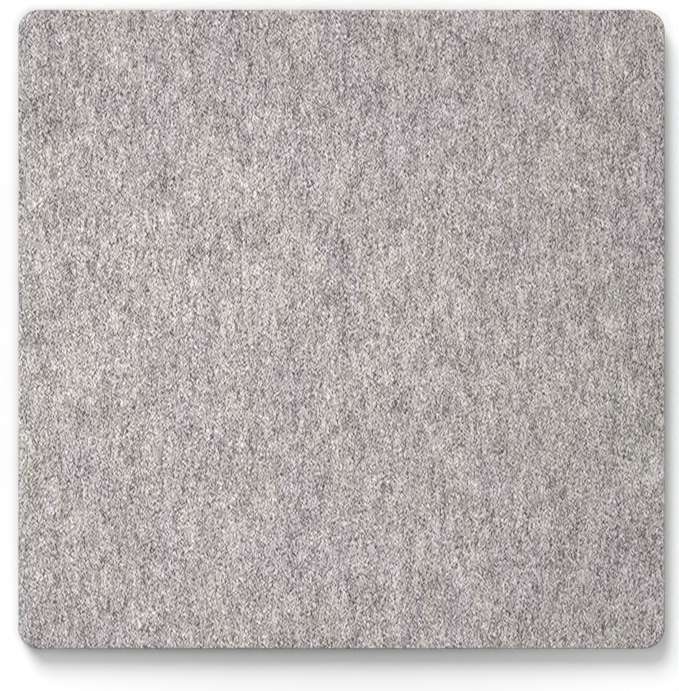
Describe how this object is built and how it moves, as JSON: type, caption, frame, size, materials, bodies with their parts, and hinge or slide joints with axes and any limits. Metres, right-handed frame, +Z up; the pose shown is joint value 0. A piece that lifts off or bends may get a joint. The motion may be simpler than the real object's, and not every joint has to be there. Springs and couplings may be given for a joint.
{
  "type": "wool pressing mat",
  "caption": "Square slab of needled grey wool felt with rounded corners and eased edges, laid flat on a table as a heat-holding pressing surface under an iron.",
  "frame": {"origin": "centre of the underside, on the surface that the mat lies on", "axes": "+Z up out of the pressing face, +X to the right and +Y towards the top edge in the picture"},
  "size_m": [0.4318, 0.4268, 0.0127],
  "materials": {
    "wool_felt": "matte needle-punched wool felt, heathered light grey with cream and charcoal fibres"
  },
  "bodies": {
    "root": {"face_ply": "wool_felt", "core_ply_2": "wool_felt", "core_ply_1": "wool_felt", "back_ply": "wool_felt"}
  },
  "joints": []
}
